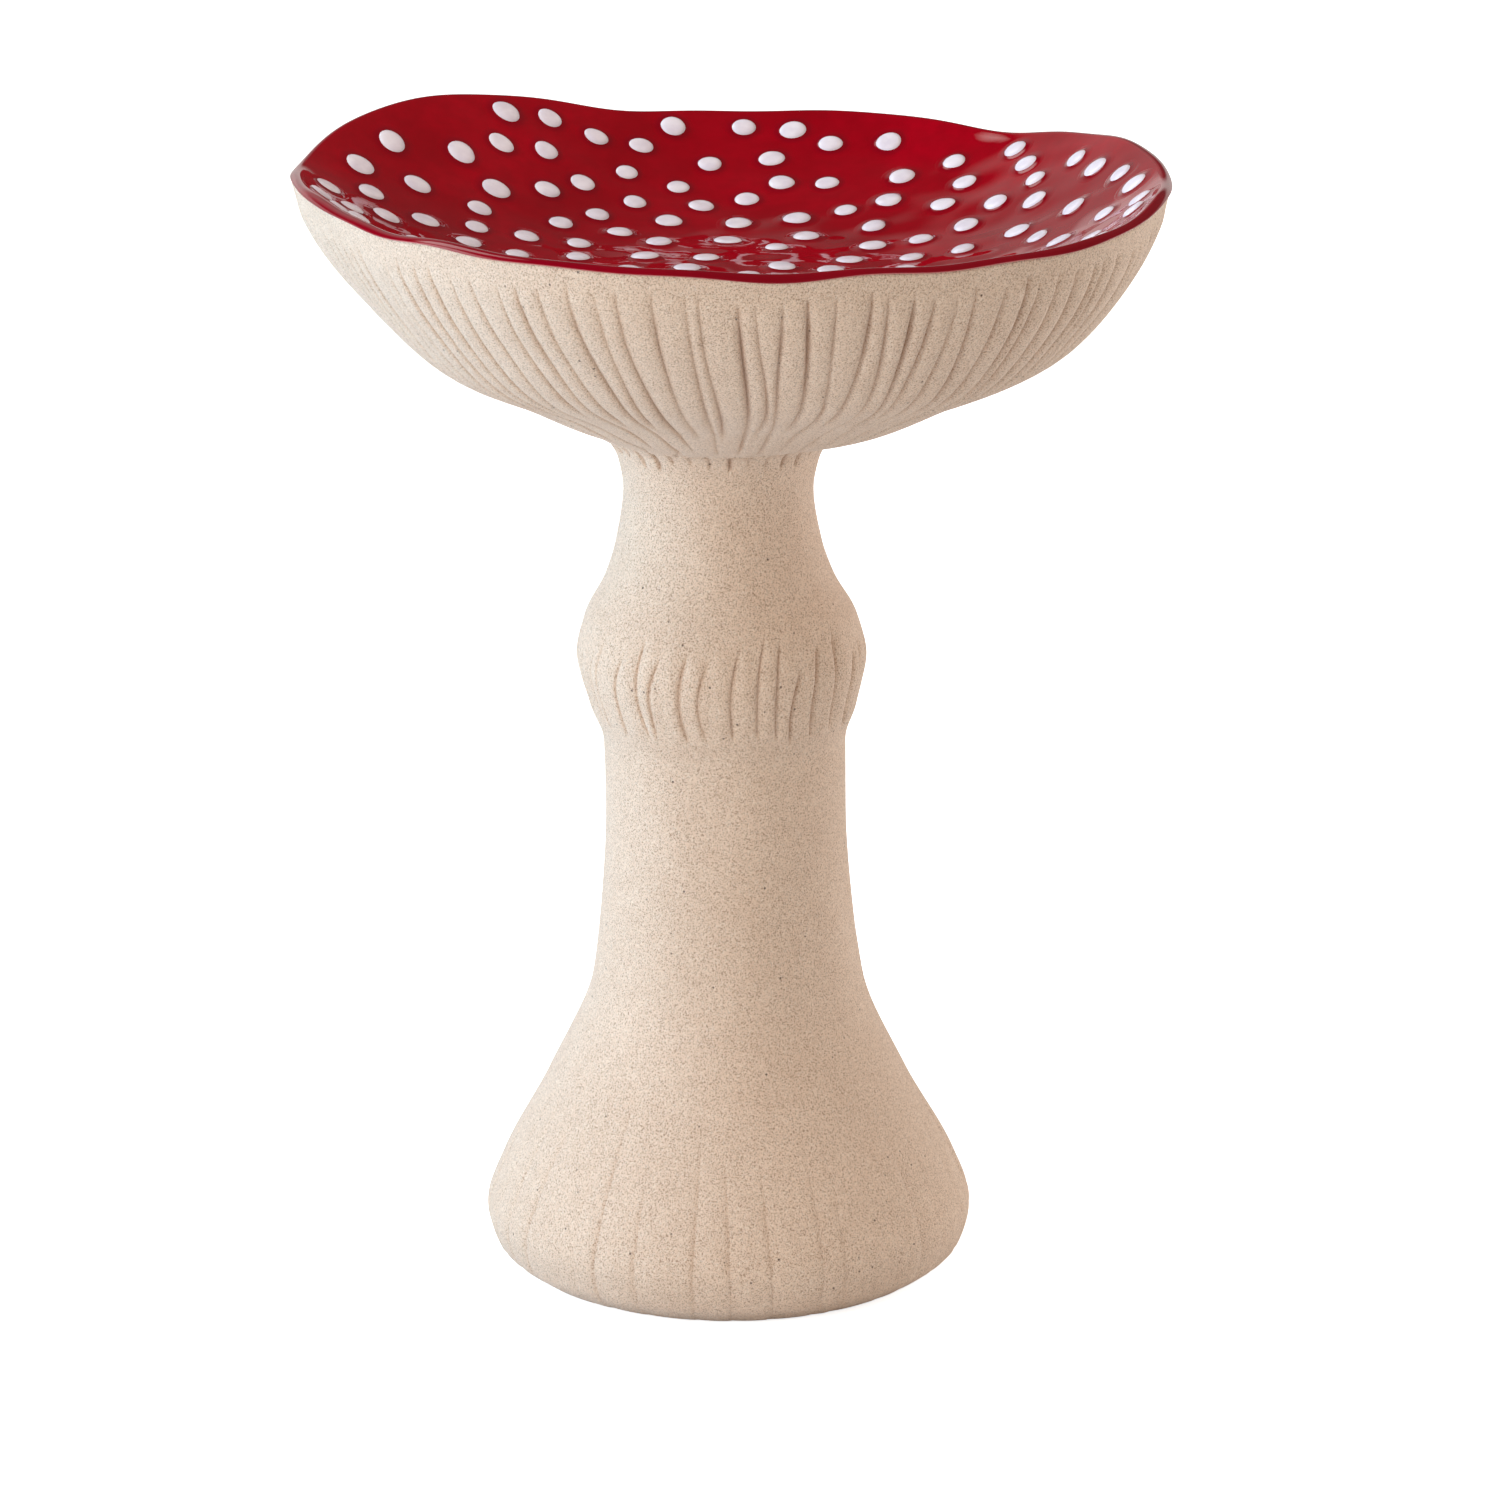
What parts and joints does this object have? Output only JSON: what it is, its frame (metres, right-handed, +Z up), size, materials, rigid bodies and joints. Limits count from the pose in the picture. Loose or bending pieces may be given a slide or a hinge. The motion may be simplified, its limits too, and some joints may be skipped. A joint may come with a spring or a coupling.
{
  "type": "toadstool ornament",
  "caption": "Garden toadstool ornament of stoneware: a hollow pedestal stem and a lift-off gilled cap turned up into a shallow red glazed dish with raised white dots.",
  "frame": {"origin": "on the floor, under the middle of the object's box, which is the middle of the wavy rim", "axes": "+Z up along the stem, -Y towards the side that the picture shows, +X to its right"},
  "size_m": [0.4322, 0.4331, 0.5672],
  "materials": {
    "stoneware": "unglazed, sandy, matte",
    "red_glaze": "gloss red glaze with raised white glaze dots"
  },
  "bodies": {
    "pedestal": {"pedestal": "stoneware"},
    "bowl": {"bowl": "stoneware", "glaze_lining": "red_glaze"}
  },
  "joints": [
    {"name": "bowl_lift", "type": "slide", "parent": "pedestal", "child": "bowl", "axis": [0, 0, 1], "range_m": [0, 0.04]}
  ]
}
